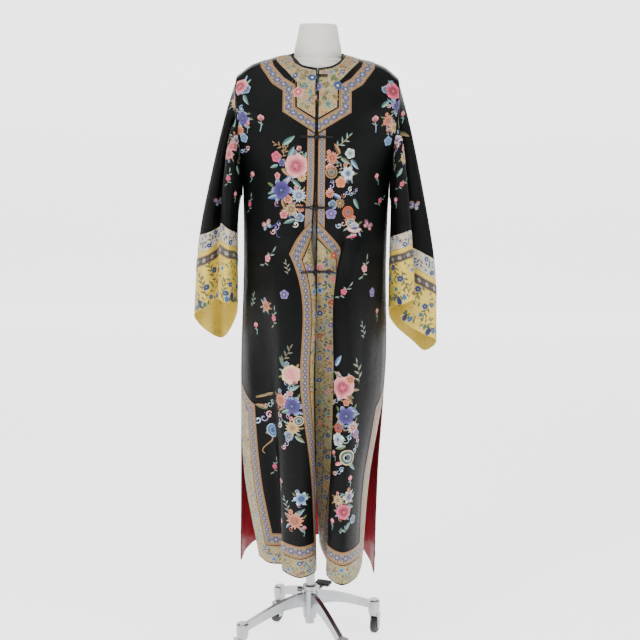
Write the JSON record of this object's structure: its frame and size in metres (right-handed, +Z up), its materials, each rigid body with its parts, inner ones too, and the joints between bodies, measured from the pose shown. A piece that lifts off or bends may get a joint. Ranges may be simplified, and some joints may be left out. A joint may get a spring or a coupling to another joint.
{
  "type": "embroidered silk robe with its dress form and four-caster stand",
  "caption": "Black silk satin robe with embroidered cream borders, woven ribbons and wide yellow cuffs, worn by a limbless dress form on a metal caster stand",
  "frame": {"origin": "middle of the bounding box's foot, on the floor", "axes": "+Z up; the robe's front faces -Y; the wearer's right is -X"},
  "size_m": [0.6474, 0.3994, 1.699],
  "materials": {
    "satin": "silk satin",
    "binding": "silk cord and bias strip",
    "cream": "silk, embroidered",
    "ribbon": "woven ribbon",
    "cuff": "yellow silk, embroidered",
    "dark_ribbon": "woven ribbon",
    "lining": "silk",
    "linen": "plain linen",
    "metal": "satin cast metal",
    "rubber": "matte"
  },
  "bodies": {
    "base": {"hub": "metal", "arm_a": "metal", "arm_b": "metal", "arm_c": "metal", "arm_d": "metal"},
    "column": {"pole": "metal", "form": "linen", "front_right": "satin", "front_left": "satin", "back_right": "satin", "back_left": "satin", "embroidered_front_right": "cream", "embroidered_front_left": "cream", "embroidered_back_right": "cream", "embroidered_back_left": "cream", "ribbon_front_right": "ribbon", "ribbon_front_left": "ribbon", "ribbon_back_right": "ribbon", "ribbon_back_left": "ribbon", "yoke_embroidered_front_right": "cream", "yoke_embroidered_front_left": "cream", "yoke_embroidered_back_right": "cream", "yoke_embroidered_back_left": "cream", "yoke_ribbon_front_right": "ribbon", "yoke_ribbon_front_left": "ribbon", "yoke_ribbon_back_right": "ribbon", "yoke_ribbon_back_left": "ribbon", "narrow_ribbon_front_right": "ribbon", "narrow_ribbon_front_left": "ribbon", "lining_back_right": "lining", "lining_back_left": "lining", "sleeve_right": "satin", "sleeve_left": "satin", "sleeve_band_right": "cream", "sleeve_band_left": "cream", "cuff_right": "cuff", "cuff_left": "cuff", "cuff_ribbon_right": "dark_ribbon", "cuff_ribbon_left": "dark_ribbon", "sleeve_lining_right": "lining", "sleeve_lining_left": "lining", "neck_binding": "binding", "neck_knot": "binding", "frog_loop_upper": "binding", "frog_loop_middle": "binding", "frog_loop_lower": "binding", "frog_knot_upper": "binding", "frog_knot_middle": "binding", "frog_knot_lower": "binding"},
    "caster_a": {"fork_a": "metal"},
    "roller_a": {"wheel_a": "rubber"},
    "caster_b": {"fork_b": "metal"},
    "roller_b": {"wheel_b": "rubber"},
    "caster_c": {"fork_c": "metal"},
    "roller_c": {"wheel_c": "rubber"},
    "caster_d": {"fork_d": "metal"},
    "roller_d": {"wheel_d": "rubber"},
    "pedal": {"pedal": "metal", "pedal_pad": "rubber"},
    "screw": {"thumb_screw": "metal"}
  },
  "joints": [
    {"name": "height_slide", "type": "slide", "parent": "base", "child": "column", "axis": [0, 0, 1], "range_m": [-0.05, 0.06]},
    {"name": "swivel_a", "type": "hinge", "parent": "base", "child": "caster_a", "pos_m": [-0.18603, -0.09075, 0.085], "axis": [0, 0, 1], "continuous": true},
    {"name": "roll_a", "type": "hinge", "parent": "caster_a", "child": "roller_a", "pos_m": [-0.19635, -0.0813, 0.024], "axis": [-0.6755, -0.7374, 0], "continuous": true},
    {"name": "swivel_b", "type": "hinge", "parent": "base", "child": "caster_b", "pos_m": [0.17813, 0.08876, 0.085], "axis": [0, 0, 1], "continuous": true},
    {"name": "roll_b", "type": "hinge", "parent": "caster_b", "child": "roller_b", "pos_m": [0.1832, 0.10181, 0.024], "axis": [-0.932, 0.3624, 0], "continuous": true},
    {"name": "swivel_c", "type": "hinge", "parent": "base", "child": "caster_c", "pos_m": [0.08581, -0.18307, 0.085], "axis": [0, 0, 1], "continuous": true},
    {"name": "roll_c", "type": "hinge", "parent": "caster_c", "child": "roller_c", "pos_m": [0.0981, -0.17636, 0.024], "axis": [-0.4794, 0.8776, 0], "continuous": true},
    {"name": "swivel_d", "type": "hinge", "parent": "base", "child": "caster_d", "pos_m": [-0.0937, 0.18108, 0.085], "axis": [0, 0, 1], "continuous": true},
    {"name": "roll_d", "type": "hinge", "parent": "caster_d", "child": "roller_d", "pos_m": [-0.10057, 0.16888, 0.024], "axis": [0.8716, -0.4903, 0], "continuous": true},
    {"name": "pedal_hinge", "type": "hinge", "parent": "base", "child": "pedal", "pos_m": [0.00707, 0.03117, 0.14], "axis": [0.946, -0.324, 0], "range_deg": [-12, 0], "stiffness_Nm_per_rad": 8, "springref_deg": 2.86},
    {"name": "screw_turn", "type": "hinge", "parent": "base", "child": "screw", "pos_m": [-0.03395, -0.001, 0.169], "axis": [1, 0, 0], "continuous": true}
  ]
}
